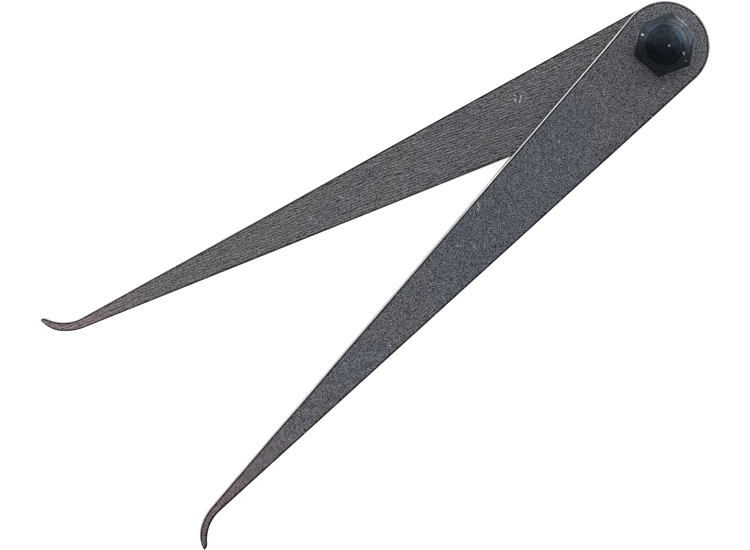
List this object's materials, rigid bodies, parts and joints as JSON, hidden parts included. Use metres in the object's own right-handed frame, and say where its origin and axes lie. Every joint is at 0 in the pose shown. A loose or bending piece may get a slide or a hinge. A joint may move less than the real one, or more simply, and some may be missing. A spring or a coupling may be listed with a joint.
{
  "type": "inside caliper",
  "caption": "Firm-joint inside caliper: flat tapered steel legs with outward-curled tips, turning on a bolt with friction washers under a domed hexagon nut.",
  "frame": {"origin": "on the joint's axis, at the flat back of the bolt head", "axes": "+Z along the bolt towards the nut; +X along the middle of the opening, from the joint to the tips; +Y towards the front leg"},
  "size_m": [0.1571, 0.0626, 0.0159],
  "materials": {
    "leg_steel": "dark ground steel with fine grinding lines, bright broken edges",
    "black_oxide": "blue-black oxide over fine turned rings, satin",
    "fibre": "red-brown vulcanised fibre, matt",
    "washer_steel": "plain turned steel"
  },
  "bodies": {
    "rear_leg_and_bolt": {"rear_leg": "leg_steel", "joint_bolt": "black_oxide", "inner_friction_washer": "fibre", "outer_friction_washer": "fibre", "keyed_washer": "washer_steel", "spring_washer": "washer_steel"},
    "front_leg": {"front_leg": "leg_steel"},
    "nut": {"joint_nut": "black_oxide"}
  },
  "joints": [
    {"name": "leg_hinge", "type": "hinge", "parent": "rear_leg_and_bolt", "child": "front_leg", "pos_m": [0, 0, 0.0062], "axis": [0, 0, 1], "range_deg": [-20.4, 159.6]},
    {"name": "nut_adjust", "type": "hinge", "parent": "rear_leg_and_bolt", "child": "nut", "pos_m": [0, 0, 0.0095], "axis": [0, 0, 1], "range_deg": [-15, 45]}
  ]
}
